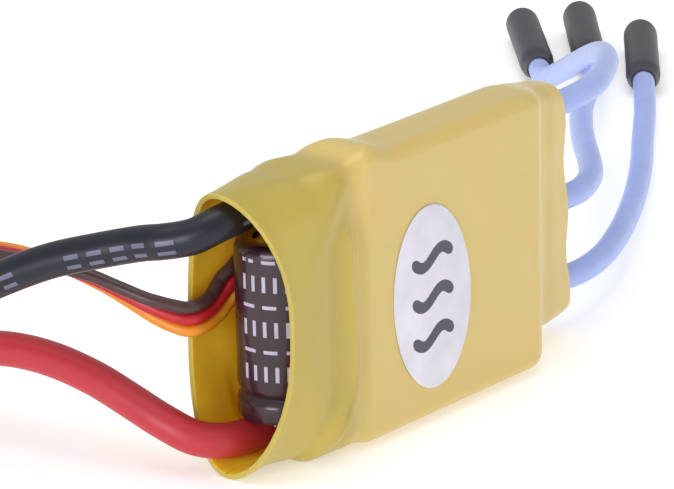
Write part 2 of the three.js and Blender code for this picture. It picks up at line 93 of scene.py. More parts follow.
def hermite(a, b, leave, arrive, t):
    """The point a share t of the way along the curve from a to b that has these slopes at its ends."""
    return (
        a * (2 * t**3 - 3 * t**2 + 1) + leave * (t**3 - 2 * t**2 + t)
        + b * (3 * t**2 - 2 * t**3) + arrive * (t**3 - t**2)
    )


def smooth(points):
    """A smooth line, in metres, through points given in millimetres (a centripetal Catmull-Rom curve)."""
    points = [Vector(p) * mm for p in points]
    points = [2 * points[0] - points[1]] + points + [2 * points[-1] - points[-2]]
    gaps = [math.sqrt((b - a).length) for a, b in zip(points, points[1:])]
    line = [points[1]]
    for i in range(1, len(points) - 2):
        before, a, b, after = points[i - 1 : i + 3]
        first, middle, last = gaps[i - 1 : i + 2]
        leave = (a - before) / first - (b - before) / (first + middle) + (b - a) / middle
        arrive = (b - a) / middle - (after - a) / (middle + last) + (after - b) / last
        for step in range(1, smooth_steps + 1):
            line.append(hermite(a, b, leave * middle, arrive * middle, step / smooth_steps))
    return line


def length_of(line):
    return sum((b - a).length for a, b in zip(line, line[1:]))


def joined(name, mesh):
    """A new piece from a finished mesh, with its faces outward."""
    bmesh.ops.recalc_face_normals(mesh, faces=mesh.faces)
    data = bpy.data.meshes.new(name)
    mesh.to_mesh(data)
    mesh.free()
    piece = bpy.data.objects.new(name, data)
    bpy.context.collection.objects.link(piece)
    return piece


def settle(piece, material, slot, *stands_for):
    """Gives a piece its material, and its place on the frame instead of the solids that it stands for."""
    piece.data.materials.append(material)
    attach(piece, "root")
    if stands_for:
        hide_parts(*stands_for)


def tube(name, line, diameter, sides):
    """A round lead along a line, with softly rounded cut ends.

    Its UV map runs once round it and, in millimetres, along it.
    """
    edge = 0.12
    mesh = bmesh.new()
    uv = mesh.loops.layers.uv.new("UVMap")
    radius = diameter / 2
    ahead = (line[1] - line[0]).normalized()
    side = ahead.cross(Vector((0, 0, 1))).normalized()
    stations = [(line[0], radius * (1 - edge), 0.0)]
    stations += [(line[0] + ahead * radius * edge, radius, radius * edge)]
    distance = 0.0
    for before, point in zip(line, line[1:-1]):
        distance += (point - before).length
        if distance > 2 * radius * edge:
            stations.append((point, radius, distance))
    last = (line[-1] - line[-2]).normalized()
    distance = length_of(line)
    stations.append((line[-1] - last * radius * edge, radius, distance - radius * edge))
    stations.append((line[-1], radius * (1 - edge), distance))
    rings = []
    for i, (point, reach, distance) in enumerate(stations):
        near, far = stations[max(i - 1, 0)][0], stations[min(i + 1, len(stations) - 1)][0]
        ahead = (far - near).normalized()
        side = (side - ahead * side.dot(ahead)).normalized()
        up = side.cross(ahead)
        ring = []
        for k in range(sides):
            turn = 2 * math.pi * k / sides
            ring.append(mesh.verts.new(point + reach * (math.cos(turn) * side + math.sin(turn) * up)))
        rings.append((ring, distance))
    for (ring, low), (following, high) in zip(rings, rings[1:]):
        for k in range(sides):
            n = (k + 1) % sides
            face = mesh.faces.new((ring[n], ring[k], following[k], following[n]))
            corners = ((k + 1, low), (k, low), (k, high), (k + 1, high))
            for loop, (around, along) in zip(face.loops, corners):
                loop[uv].uv = (around / sides, along / mm)
    mesh.faces.new(rings[0][0])
    mesh.faces.new(list(reversed(rings[-1][0])))
    piece = joined(name, mesh)
    piece.data.shade_smooth()
    return piece


def new_material(name):
    """A node material, with its tree, its shader and its coordinates."""
    material = bpy.data.materials.new(name)
    material.use_nodes = True
    tree = material.node_tree
    return material, tree, tree.nodes["Principled BSDF"], tree.nodes.new("ShaderNodeTexCoord")


def speckle(tree, place, scale, detail):
    """A noise texture on the piece's own coordinates."""
    texture = tree.nodes.new("ShaderNodeTexNoise")
    texture.inputs["Scale"].default_value = scale
    texture.inputs["Detail"].default_value = detail
    tree.links.new(place.outputs["Object"], texture.inputs["Vector"])
    return texture


def mixed(tree, factor, first, second, blend="MIX"):
    """Two colours mixed by a factor. Each of the three is a value or another node's output."""
    mix = tree.nodes.new("ShaderNodeMix")
    mix.data_type = "RGBA"
    mix.blend_type = blend
    for name, value in (("Factor", factor), ("A", first), ("B", second)):
        if isinstance(value, float):
            mix.inputs[name].default_value = value
        elif isinstance(value, tuple):
            mix.inputs[name].default_value = (*value, 1)
        else:
            tree.links.new(value, mix.inputs[name])
    return mix.outputs["Result"]


def raise_by(tree, shader, texture, strength, distance):
    """Raises a shader's surface a little where a texture is pale."""
    bump = tree.nodes.new("ShaderNodeBump")
    bump.inputs["Strength"].default_value = strength
    bump.inputs["Distance"].default_value = distance
    tree.links.new(texture.outputs["Fac"], bump.inputs["Height"])
    tree.links.new(bump.outputs["Normal"], shader.inputs["Normal"])


def print_mask(tree, place):
    """1 on the printed marks of a lead: dashes in two rows, in groups of five, on one side only."""
    mark_pitch, mark_share, marks_in_group, gap_marks = 2.1, 0.62, 5, 2
    side, row_low, row_high = 0.47, 0.028, 0.070
    split = tree.nodes.new("ShaderNodeSeparateXYZ")
    tree.links.new(place.outputs["UV"], split.inputs["Vector"])

    def math_node(kind, *values):
        node = tree.nodes.new("ShaderNodeMath")
        node.operation = kind
        for socket, value in zip(node.inputs, values):
            if isinstance(value, float):
                socket.default_value = value
            else:
                tree.links.new(value, socket)
        return node.outputs["Value"]

    along = split.outputs["Y"]
    slots = marks_in_group + gap_marks
    mark = math_node("LESS_THAN", math_node("FRACT", math_node("DIVIDE", along, mark_pitch)), mark_share)
    repeat = math_node("FRACT", math_node("DIVIDE", along, mark_pitch * slots))
    group = math_node("LESS_THAN", repeat, marks_in_group / slots)
    height = math_node("ABSOLUTE", math_node("SUBTRACT", split.outputs["X"], side))
    below, above = math_node("LESS_THAN", height, row_high), math_node("GREATER_THAN", height, row_low)
    return math_node("MULTIPLY", math_node("MULTIPLY", mark, group), math_node("MULTIPLY", below, above))


def silicone(name, colour, roughness, print_colour=None):
    """Satin silicone rubber, a little see-through, with a soft bloom and, on some leads, printed dashes."""
    material, tree, shader, place = new_material(name)
    shader.inputs["Roughness"].default_value = roughness
    shader.inputs["Specular IOR Level"].default_value = 0.5
    shader.inputs["Specular Tint"].default_value = (0.84, 0.88, 1, 1)
    shader.inputs["Subsurface Weight"].default_value = 0.12
    shader.inputs["Subsurface Radius"].default_value = (0.6, 0.4, 0.4)
    shader.inputs["Subsurface Scale"].default_value = 0.6 * mm
    dust = speckle(tree, place, 420, 4)
    clean = tuple(c * 0.9 for c in colour)
    dusty = tuple(min(1, c * 1.12 + 0.004) for c in colour)
    shade = mixed(tree, dust.outputs["Fac"], clean, dusty)
    if print_colour:
        shade = mixed(tree, print_mask(tree, place), shade, print_colour)
    tree.links.new(shade, shader.inputs["Base Color"])
    raise_by(tree, shader, dust, 0.12, 0.03 * mm)
    return material


def tinned(name, colour=(0.72, 0.73, 0.75), roughness=0.3):
    """Bright metal, a little cloudy."""
    material, tree, shader, place = new_material(name)
    shader.inputs["Metallic"].default_value = 1
    cloud = speckle(tree, place, 900, 3)
    ramp = tree.nodes.new("ShaderNodeValToRGB")
    ramp.color_ramp.elements[0].color = (*[c * 0.8 for c in colour], 1)
    ramp.color_ramp.elements[1].color = (*colour, 1)
    tree.links.new(cloud.outputs["Fac"], ramp.inputs["Fac"])
    tree.links.new(ramp.outputs["Color"], shader.inputs["Base Color"])
    rough = tree.nodes.new("ShaderNodeMapRange")
    rough.inputs["To Min"].default_value = roughness * 0.7
    rough.inputs["To Max"].default_value = roughness * 1.4
    tree.links.new(cloud.outputs["Fac"], rough.inputs["Value"])
    tree.links.new(rough.outputs["Result"], shader.inputs["Roughness"])
    return material


def stranded_tip(name, line):
    """The bared end of a lead: its strands twisted together and tinned into one ridged rod."""
    ridges, sides, stations = 9, 72, 24
    ridge_depth, twist, taper_from, taper = 0.075, 2.2, 0.94, 0.264
    start = line[-1]
    ahead = (line[-1] - line[-2]).normalized()
    turn_to = Vector((0, 0, 1)).rotation_difference(ahead).to_matrix().to_4x4()
    mesh = bmesh.new()
    rings = []
    for i in range(stations + 1):
        share = i / stations
        reach = tip_radius * (1 - taper * max(0, share - taper_from) / (1 - taper_from))
        ring = []
        for k in range(sides):
            turn = 2 * math.pi * k / sides
            edge = reach * (1 - ridge_depth * abs(math.sin(ridges / 2 * (turn - twist * share))))
            spot = Vector((edge * math.cos(turn), edge * math.sin(turn), share * tip_length))
            ring.append(mesh.verts.new(start + (turn_to @ spot)))
        rings.append(ring)
    for ring, following in zip(rings, rings[1:]):
        for k in range(sides):
            n = (k + 1) % sides
            mesh.faces.new((ring[k], ring[n], following[n], following[k]))
    mesh.faces.new(list(reversed(rings[0])))
    mesh.faces.new(rings[-1])
    piece = joined(name, mesh)
    piece.data.shade_smooth()
    return piece


tin = tinned("tinned copper")
black_silicone = silicone("black silicone", (0.007, 0.007, 0.012), 0.38, (0.13, 0.13, 0.20))
red_silicone = silicone("red silicone", (0.50, 0.028, 0.038), 0.42)
for colour, route, material in (("black", black_route, black_silicone), ("red", red_route, red_silicone)):
    line = smooth(route)
    lead = tube(f"{colour}_battery_lead", line, lead_diameter, sides=40)
    settle(lead, material, f"{colour}_silicone", f"battery_lead_{colour}")
    tip = stranded_tip(f"{colour}_lead_tip", line)
    settle(tip, tin, "tin", f"battery_tip_{colour}")

# ---- motor leads -------------------------------------------------------------------------------------------
# Three blue silicone leads of 18 gauge leave the thin end of the sleeve in a row, trail back over each other
# to the floor, and end in gold bullet sockets, each under its own piece of black heat-shrink tube.
motor_lead_diameter = 2.25 * mm
motor_routes = [
    [
        (16.9, 0.98, 20.7), (22, 0.98, 20.7), (26, 1, 20.75), (30, 1.9, 20.7), (34, 4, 20.3),
        (39.8, 7.9, 19.3), (45.9, 12.8, 17.6), (52.2, 18.3, 15.3), (58.4, 24.1, 12.5), (64.3, 29.9, 9.5),
        (69.4, 35.2, 6.7), (73.2, 39.6, 4.3), (75.6, 42.7, 2.7), (77.2, 45, 1.95), (79.1, 46.9, 1.8),
    ],
    [
        (16.9, 0.98, 12), (22, 0.98, 11.85), (27, 1.35, 11.6), (32, 3.8, 11.2), (36.5, 7.4, 10.8),
        (41.7, 12, 10.2), (47.6, 16.9, 9.4), (54.6, 22.3, 8.2), (62.4, 27.9, 6.6), (70.2, 33.3, 4.8),
        (76.3, 37.6, 3.2), (80.3, 40.8, 2.1), (82.4, 42.5, 1.85), (84.2, 44.1, 1.8),
    ],
    [
        (16.9, 0.98, 4.4), (22, 0.98, 4.3), (27, 1.05, 4.1), (31.9, 2.5, 3.8), (37.9, 5.4, 3.3),
        (45.1, 9.5, 2.7), (52.9, 14.4, 2.1), (60.7, 19.7, 1.6), (68.1, 25.1, 1.3), (74.8, 29.9, 1.35),
        (78.6, 32.8, 1.6), (81.9, 35.4, 1.8),
    ],
]


def turned(name, profile, start, ahead, segments=48, closed=False):
    """A piece turned about a line from a profile of (radius, distance) pairs in millimetres."""
    data = bpy.data.meshes.new(name)
    verts = [(r * mm, 0, h * mm) for r, h in profile]
    edges = [(i, i + 1) for i in range(len(verts) - 1)] + ([(len(verts) - 1, 0)] if closed else [])
    data.from_pydata(verts, edges, [])
    piece = bpy.data.objects.new(name, data)
    bpy.context.collection.objects.link(piece)
    bpy.context.view_layer.objects.active = piece
    spin = piece.modifiers.new("spin", "SCREW")
    spin.steps = spin.render_steps = segments
    spin.use_merge_vertices = True
    spin.merge_threshold = 0.001 * mm
    bpy.ops.object.modifier_apply(modifier=spin.name)
    piece.select_set(True)
    bpy.ops.object.mode_set(mode="EDIT")
    bpy.ops.mesh.select_all(action="SELECT")
    bpy.ops.mesh.remove_doubles(threshold=0.0005 * mm)
    bpy.ops.mesh.normals_make_consistent(inside=False)
    bpy.ops.object.mode_set(mode="OBJECT")
    turn_to = Vector((0, 0, 1)).rotation_difference(ahead).to_matrix().to_4x4()
    piece.data.transform(Matrix.Translation(start) @ turn_to)
    bpy.ops.object.shade_smooth_by_angle(angle=math.radians(35))
    piece.select_set(False)
    return piece


def shrink_film(name, colour, roughness=0.45):
    """Thin heat-shrink tube: satin, with a faint ripple left by the hot air."""
    material, tree, shader, place = new_material(name)
    shader.inputs["Roughness"].default_value = roughness
    ripple = speckle(tree, place, 350, 3)
    deep, pale = (tuple(c * share for c in colour) for share in (0.85, 1.2))
    shade = mixed(tree, ripple.outputs["Fac"], deep, pale)
    tree.links.new(shade, shader.inputs["Base Color"])
    raise_by(tree, shader, ripple, 0.25, 0.08 * mm)
    return material


blue_silicone = silicone("blue silicone", (0.40, 0.50, 0.90), 0.38)
black_shrink = shrink_film("black shrink", (0.040, 0.038, 0.050))
gold = tinned("gold plate", (0.85, 0.62, 0.24), 0.25)
# Profiles turned about each socket's line, as radius and distance. The shrink tube draws in to the lead at
# its near end and stands a little proud of the socket's mouth.
shrink_profile = [
    (1.15, 0), (1.2, -0.08), (1.3, -0.04), (1.36, 0.1), (1.38, 0.5), (1.45, 0.9), (1.62, 1.4), (1.75, 1.9),
    (1.8, 2.6), (1.77, 6), (1.79, 9), (1.77, 12), (1.8, 15.4), (1.78, 16.6), (1.72, 16.95), (1.62, 17.0),
    (1.5, 16.97), (1.42, 16.8), (1.4, 16.3), (1.38, 2.4), (1.3, 1.6), (1.15, 0.8),
]
socket_profile = [
    (0, 1.5), (1.25, 1.5), (1.35, 1.6), (1.35, 3.8), (1.2, 3.95), (1.2, 4.4), (1.35, 4.55), (1.35, 16.1),
    (1.27, 16.2), (1.08, 16.2), (1.0, 16.1), (1.0, 8.4), (0, 8.2),
]
socket_gap = 0.3 * mm
for number, route in enumerate(motor_routes, 1):
    line = smooth(route)
    ahead = line[-1] - line[-2]
    ahead.z = 0
    ahead.normalize()
    start = line[-1] + ahead * socket_gap
    # Under the shrink the lead runs on into the socket's solder cup.
    line += [line[-1] + ahead * step * mm for step in (0.9, 1.8)]
    lead = tube(f"motor_lead_{number}", line, motor_lead_diameter, sides=36)
    settle(lead, blue_silicone, "blue_silicone", f"motor_lead_{number}")
    shrink = turned(f"socket_shrink_{number}", shrink_profile, start, ahead, closed=True)
    settle(shrink, black_shrink, "black_shrink", f"socket_shrink_{number}")
    socket = turned(f"bullet_socket_{number}", socket_profile, start, ahead)
    settle(socket, gold, "gold", f"bullet_socket_{number}")

# ---- signal lead -------------------------------------------------------------------------------------------
# A flat lead of three wires, brown, red and orange from the top. It comes from the back of the board, behind
# the capacitor, and its spare length is wound from the middle into a small coil, held by a tie, beside its
# servo plug.
wire_diameter = 1.1 * mm
wire_pitch = 1.12 * mm
signal_route = [
    # The middle wire's route, with how far the ribbon has rolled over at each point, in degrees.
    (-7.5, 0.5, 15.2, 0), (-9.4, 0.85, 15.3, 0), (-11.1, 2.35, 15.8, 0), (-12.8, 3.6, 15.9, 0),
    (-14.6, 4.12, 15.5, 0), (-15.9, 4.15, 14.8, 0), (-16.8, 4.35, 14, 0), (-17.9, 4.4, 13.15, 0),
    (-19, 4.4, 12.75, 4), (-20, 4.6, 12.55, 9), (-20.6, 5.15, 12.5, 14), (-21.2, 6.1, 12.75, 20),
    (-22.1, 7.9, 13.4, 33), (-22.7, 10.1, 14.2, 42), (-23.1, 12.5, 14.9, 50), (-23.5, 14.2, 15.3, 58),
    (-24, 16.3, 15.7, 68), (-24.4, 18.4, 15.9, 76), (-24.7, 21, 16, 84), (-25, 24, 15.8, 86),
    (-25.6, 27.5, 15, 76), (-26.9, 31, 12.9, 56), (-28.4, 34.5, 10.1, 32), (-29.6, 38.2, 7.1, 12),
    (-30.4, 42, 4.4, 0), (-30.9, 45.2, 2.75, 0), (-31, 48, 2.15, 0), (-31, 51, 2.12, 0),
]
coil_centre = Vector((-22.375, 53.5, 2.12)) * mm
coil_eye = 4.6 * mm
coil_pitch = 1.15 * mm
turns_in, turns_out = 1.75, 2.0
plug_pitch = 2.54 * mm
plug_width = 7.7 * mm


def coil_line():
    """In by one arm of a level double spiral, through its middle in an S, and out by the other arm."""
    points = []
    outer = coil_eye + 2 * coil_pitch * turns_in
    for i in range(1, 64):
        share = i / 63
        turn = math.pi - 2 * math.pi * turns_in * share
        reach = outer - 2 * coil_pitch * turns_in * share
        points.append(Vector((reach * math.cos(turn), reach * math.sin(turn), 0)))
    for i in range(1, 13):
        turn = -math.pi / 2 - math.pi * i / 12
        points.append(coil_eye / 2 * Vector((math.cos(turn), math.sin(turn) - 1, 0)))
    for i in range(1, 13):
        turn = -math.pi / 2 + math.pi * i / 12
        points.append(coil_eye / 2 * Vector((math.cos(turn), math.sin(turn) + 1, 0)))
    for i in range(1, 73):
        share = i / 72
        turn = math.pi / 2 + 2 * math.pi * turns_out * share
        reach = coil_eye + 2 * coil_pitch * turns_out * share
        points.append(Vector((reach * math.cos(turn), reach * math.sin(turn), 0)))
    return [coil_centre + p for p in points]


approach = smooth([point[:3] for point in signal_route])
coil = coil_line()
wires = [
    ("brown", 1, (0.075, 0.032, 0.028)), ("red", 0, (0.52, 0.012, 0.018)),
    ("orange", -1, (0.78, 0.27, 0.012)),
]
for colour, place, tone in wires:
    line = []
    for i, point in enumerate(approach):
        ahead = (approach[min(i + 1, len(approach) - 1)] - approach[max(i - 1, 0)]).normalized()
        upright = (Vector((0, 0, 1)) - ahead * ahead.z).normalized()
        knot = min(i // smooth_steps, len(signal_route) - 2)
        share = i / smooth_steps - knot
        roll = math.radians(signal_route[knot][3] * (1 - share) + signal_route[knot + 1][3] * share)
        across = upright * math.cos(roll) + upright.cross(ahead) * math.sin(roll)
        line.append(point + across * place * wire_pitch)
    line += [p + Vector((0, 0, place * wire_pitch)) for p in coil]
    # From the coil's rim the tail goes straight back, and its wires fan out to the channels of the plug.
    x, y = coil_centre.x / mm, coil[-1].y / mm
    coil_z = (coil_centre.z + place * wire_pitch) / mm
    plug_z = (plug_width / 2 + place * plug_pitch) / mm
    fan = (
        (-0.5, coil_z), (-3.5, coil_z), (-5.2, coil_z + 0.1 * (plug_z - coil_z)),
        (-7.2, coil_z + 0.6 * (plug_z - coil_z)), (-9.2, plug_z), (-11.7, plug_z),
    )
    line += smooth([(x + back, y, z) for back, z in fan])
    wire = tube(f"signal_wire_{colour}", line, wire_diameter, sides=16)
    replaced = [f"signal_{part}_{colour}" for part in ("wire", "coil", "tail")]
    settle(wire, silicone(f"{colour} vinyl", tone, 0.36), f"{colour}_wire", *replaced)

# ---- tie ---------------------------------------------------------------------------------------------------
# A narrow band of black nylon through the coil's eye and round its turns.
def moulded(name, colour, roughness):
    """Injection-moulded plastic with a fine even grain."""
    material = shrink_film(name, colour, roughness)
    for node in material.node_tree.nodes:
        if node.type == "TEX_NOISE":
            node.inputs["Scale"].default_value = 2080
        if node.type == "BUMP":
            node.inputs["Distance"].default_value = 0.01 * mm
    return material


def softened(piece, width, segments=2, angle=35):
    """Rounds a piece's sharp edges and shades it smooth."""
    bpy.context.view_layer.objects.active = piece
    piece.select_set(True)
    round_off = piece.modifiers.new("edges", "BEVEL")
    round_off.width = width
    round_off.segments = segments
    round_off.limit_method = "ANGLE"
    round_off.angle_limit = math.radians(angle)
    bpy.ops.object.modifier_apply(modifier=round_off.name)
    bpy.ops.object.shade_smooth_by_angle(angle=math.radians(40))
    piece.select_set(False)
    return piece


def merged_copy(name, node):
    """A copy of a framework piece's own solid, with its triangles joined up and its flat faces made whole."""
    source = nodes[node]
    piece = bpy.data.objects.new(name, source.data.copy())
    piece.data.transform(source.matrix_world)
    piece.data.materials.clear()
    bpy.context.collection.objects.link(piece)
    bpy.context.view_layer.objects.active = piece
    piece.select_set(True)
    bpy.ops.object.mode_set(mode="EDIT")
    bpy.ops.mesh.select_all(action="SELECT")
    bpy.ops.mesh.remove_doubles(threshold=0.001 * mm)
    bpy.ops.mesh.dissolve_limited(angle_limit=math.radians(1))
    bpy.ops.object.mode_set(mode="OBJECT")
    piece.select_set(False)
    return piece


tie = softened(merged_copy("coil_tie_band", "coil_tie"), 0.1 * mm)
settle(tie, moulded("tie nylon", (0.012, 0.012, 0.014), 0.45), "tie", "coil_tie")

# ---- servo plug --------------------------------------------------------------------------------------------
# A flat black nylon housing with three square channels at 2.54 mm, a crimped gold contact in each.
plug = softened(merged_copy("servo_plug_housing", "servo_plug"), 0.18 * mm)
settle(plug, moulded("plug nylon", (0.014, 0.014, 0.016), 0.5), "plug", "servo_plug")
for number in (1, 2, 3):
    contact = softened(merged_copy(f"contact_{number}", f"plug_contact_{number}"), 0.12 * mm)
    settle(contact, gold, "gold", f"plug_contact_{number}")

# ---- heat-shrink sleeve ------------------------------------------------------------------------------------
# One length of yellow polyolefin tube, shrunk over everything. It is sharp over the heat spreader, low over
# the motor leads, and drawn out into an open oval at the battery end, where it bulges over the capacitor.
sleeve_wall = 0.45
mid_z = 13.05
mouth_bow, bow_reach = 2.2, 6
scallop_depth, scallop_reach = 0.1, 3
end_slant = 0.35
rows_z = (4.4, 12.0, 20.7)
sections = [
    # x, front, back, low, high, front corner, back corner
    (-21.9, -5.85, 5.85, 0.0, 24.75, (5.9, 10.6), (5.8, 12.0)),
    (-20.5, -5.86, 5.85, 0.2, 24.8, (5.8, 10.2), (5.7, 11.2)),
    (-19.0, -5.88, 5.85, 0.45, 24.85, (5.4, 9.2), (5.5, 10.2)),
    (-17.0, -5.88, 5.75, 0.5, 24.95, (4.7, 7.2), (5.1, 8.6)),
    (-16.2, -5.85, 5.6, 0.62, 24.98, (4.3, 6.2), (4.9, 7.4)),
    (-15.6, -5.84, 5.5, 0.08, 24.95, (4.0, 5.6), (4.8, 6.9)),
    (-15.0, -5.82, 5.4, 0.0, 25.0, (3.7, 5.0), (4.7, 6.4)),
    (-14.2, -5.8, 5.3, 0.2, 25.16, (3.3, 4.2), (4.6, 5.9)),
    (-13.4, -5.8, 5.2, 0.4, 25.3, (2.9, 3.4), (4.6, 5.4)),
    (-12.4, -5.7, 4.6, 0.55, 25.36, (2.3, 2.6), (4.4, 4.9)),
    (-11.4, -5.48, 3.85, 0.7, 25.42, (1.8, 2.0), (4.1, 4.5)),
    (-10.8, -5.4, 3.4, 0.7, 25.6, (1.4, 1.6), (3.9, 4.3)),
    (-10.2, -5.5, 3.15, 0.6, 25.92, (1.2, 1.35), (3.9, 4.2)),
    (-9.7, -5.6, 2.95, 0.5, 26.15, (1.15, 1.3), (4.0, 4.2)),
    (-8.7, -5.6, 2.7, 0.45, 26.35, (1.2, 1.3), (4.3, 4.2)),
    (-7.7, -5.6, 2.6, 0.45, 26.1, (1.25, 1.3), (4.4, 4.2)),
    (-6.6, -5.6, 2.6, 0.45, 25.78, (1.3, 1.3), (4.4, 4.2)),
    (-5.6, -5.6, 2.6, 0.45, 25.62, (1.3, 1.3), (4.4, 4.2)),
    (12.2, -5.6, 2.6, 0.45, 25.65, (1.3, 1.3), (4.4, 4.2)),
    (13.0, -5.45, 2.6, 0.55, 25.55, (1.35, 1.35), (4.4, 4.2)),
    (13.7, -5.0, 2.6, 0.8, 25.35, (1.4, 1.4), (4.2, 3.9)),
    (15.0, -3.75, 2.6, 1.3, 25.0, (1.4, 1.5), (3.4, 3.0)),
    (16.5, -2.6, 2.6, 1.65, 24.45, (1.4, 1.5), (2.2, 2.2)),
    (17.7, -2.1, 2.6, 1.65, 24.1, (1.4, 1.5), (1.8, 1.8)),
    (19.6, -1.8, 2.6, 1.6, 23.75, (1.5, 1.6), (1.6, 1.6)),
    (21.2, -1.5, 2.75, 1.6, 23.5, (1.6, 1.6), (1.5, 1.5)),
    (22.4, -1.3, 2.85, 1.7, 23.3, (1.6, 1.6), (1.5, 1.5)),
]


def eased(value, low, high):
    """0 below low, 1 above high, and an even rise between."""
    t = min(max((value - low) / (high - low), 0), 1)
    return t * t * (3 - 2 * t)


def bell(distance, width):
    """1 at no distance, falling gently to nothing past about twice the width."""
    return math.exp(-((distance / width) ** 2))


def sections_between(count):
    """More sections, on smooth curves through the ones given, closer together where the shape turns."""
    rows = [(*sizes, *near, *far) for *sizes, near, far in sections]
    dense = []
    for i in range(len(rows) - 1):
        a, b = rows[i], rows[i + 1]
        before, after = rows[max(i - 1, 0)], rows[min(i + 2, len(rows) - 1)]
        steps = max(2, min(count, round((b[0] - a[0]) / 0.33)))
        for step in range(steps):
            t = step / steps
            row = []
            span = b[0] - a[0]
            for k in range(len(a)):
                slope_a = (b[k] - before[k]) / max(b[0] - before[0], 1e-6) * span
                slope_b = (after[k] - a[k]) / max(after[0] - a[0], 1e-6) * span
                if a[k] == b[k]:
                    slope_a = slope_b = 0
                row.append(hermite(a[k], b[k], slope_a, slope_b, t))
            row[0] = a[0] + t * (b[0] - a[0])
            dense.append(row)
    return dense + [rows[-1]]


def sleeve_ring(row, corner_steps=11, side_steps=18):
    """One ring of points, with the small forms that the pieces underneath press into the skin."""
    x, front, back, low, high, near_y, near_z, far_y, far_z = row
    corners = [
        (back - far_y, high - far_z, far_y, far_z, 0), (front + near_y, high - near_z, near_y, near_z, 1),
        (front + near_y, low + near_z, near_y, near_z, 2), (back - far_y, low + far_z, far_y, far_z, 3),
    ]
    ring = []
    for index, (cy, cz, ry, rz, quarter) in enumerate(corners):
        for i in range(corner_steps + 1):
            turn = math.pi / 2 * (quarter + i / corner_steps)
            ring.append((cy + ry * math.cos(turn), cz + rz * math.sin(turn)))
        ny, nz, next_y, next_z, next_quarter = corners[(index + 1) % 4]
        turn = math.pi / 2 * next_quarter
        start, end = ring[-1], (ny + next_y * math.cos(turn), nz + next_z * math.sin(turn))
        steps = side_steps if quarter in (1, 3) else 6
        for i in range(1, steps):
            t = i / steps
            ring.append((start[0] + t * (end[0] - start[0]), start[1] + t * (end[1] - start[1])))
    points = []
    mouth_share = max(0, 1 - (x - sections[0][0]) / bow_reach) ** 2
    motor_share = max(0, 1 - (sections[-1][0] - x) / scallop_reach)
    row_pitch = (rows_z[2] - rows_z[0]) / 2
    for y, z in ring:
        height = (z - (low + high) / 2) / ((high - low) / 2)
        wave = math.cos((z - rows_z[1]) / row_pitch * 2 * math.pi)
        shift = mouth_bow * mouth_share * (1 - height * height) * (1 + 0.25 * height)
        shift += motor_share * (scallop_depth * (wave - 1) - end_slant * (height + 1))
        depth = 0.0
        if y < front + 0.6:
            # Tension has drawn one long fold down the front, from the block's top corner to the foot of the
            # mouth, with a soft hollow on either side of it and a deeper dimple under the block's top corner.
            fold_x = -15.2 + 2.9 * eased(z, 0.5, 8) + 2.2 * eased(z, 19, 26)
            strength = eased(z, 0.0, 3.0) * (1 - 0.8 * eased(z, 19, 23))
            depth -= 0.5 * strength * bell(x - fold_x, 0.75)
            depth += 0.3 * strength * bell(x - fold_x + 1.8, 1.0)
            depth += 0.12 * strength * bell(x - fold_x - 1.4, 0.7)
            depth += 0.55 * bell(x + 12.0, 1.5) * bell(z - 21.8, 2.4)
            depth -= 0.10 * bell(x + 17.5, 1.8) * bell(z - 9.0, 5.0)
        # Over each motor lead the thin end swells a little, and dips between them.
        swell = 0.10 * eased(x, 17.0, 20.5) * (wave + 0.3) * (1 - abs(height) ** 6)
        if y < front + 0.5:
            depth -= swell
        if y > back - 0.5:
            depth += swell
            # The chips on the back of the board show as low rounded steps.
            chip = (1 - eased(abs(x + 1), 3.4, 4.4)) * (1 - eased(abs(z - mid_z), 3.4, 4.4))
            plain = eased(x, -8, -6) * (1 - eased(x, 11, 13)) * (1 - eased(abs(z - mid_z), 8.0, 10.5))
            depth -= 0.16 * plain * (1 - chip)
        spot = Vector((x * 0.22, y * 0.22, z * 0.22))
        creep = 0.035 * noise.noise(spot) + 0.012 * noise.noise(spot * 3.1)
        points.append(Vector((x + shift, y + depth + creep * (-1 if y < 0 else 1), z + 0.5 * creep)) * mm)
    return points


def heat_shrink():
    """Yellow polyolefin: satin, a little see-through, with painted shade and painted glow in its colour.
    Outside, it is painted deeper and more olive towards the open end, where nothing backs the film. Inside,
    it is painted a brighter, deeper orange for light bouncing in the tube.
    """
    materials = []
    for name, pale, deep, weight in (
        # Painted shade: the outside's pale tone over the block and its deep tone, the painted shade, towards
        # the open end.
        ("yellow shrink outside with painted shade", (0.72, 0.535, 0.165), (0.53, 0.405, 0.066), 0.25),
        # Painted glow: the inside wall is the same film, drawn a brighter, deeper orange for the light that
        # bounces inside the tube.
        ("yellow shrink inside with painted glow", (0.86, 0.65, 0.04), (0.86, 0.65, 0.04), 0.85),
    ):
        material, tree, shader, place = new_material(name)
        shader.inputs["Roughness"].default_value = 0.36
        shader.inputs["Specular IOR Level"].default_value = 0.5
        shader.inputs["Subsurface Weight"].default_value = weight
        shader.inputs["Subsurface Radius"].default_value = (1.0, 0.6, 0.12)
        shader.inputs["Subsurface Scale"].default_value = 1.2 * mm
        shader.inputs["Coat Weight"].default_value = 0.4
        shader.inputs["Coat Roughness"].default_value = 0.34
        split = tree.nodes.new("ShaderNodeSeparateXYZ")
        tree.links.new(place.outputs["Object"], split.inputs["Vector"])
        # Painted shade: along the sleeve the outside colour runs from the deep tone at the open end to the
        # pale tone over the block.
        painted_shade_ramp = tree.nodes.new("ShaderNodeMapRange")
        painted_shade_ramp.interpolation_type = "SMOOTHSTEP"
        painted_shade_ramp.inputs["From Min"].default_value = -13.5 * mm
        painted_shade_ramp.inputs["From Max"].default_value = -9.5 * mm
        tree.links.new(split.outputs["X"], painted_shade_ramp.inputs["Value"])
        tone = mixed(tree, painted_shade_ramp.outputs["Result"], deep, pale)
        clouded = mixed(tree, 0.10, tone, speckle(tree, place, 140, 3).outputs["Color"], "MULTIPLY")
        tree.links.new(clouded, shader.inputs["Base Color"])
        raise_by(tree, shader, speckle(tree, place, 1500, 2), 0.08, 0.02 * mm)
        materials.append(material)
    return materials


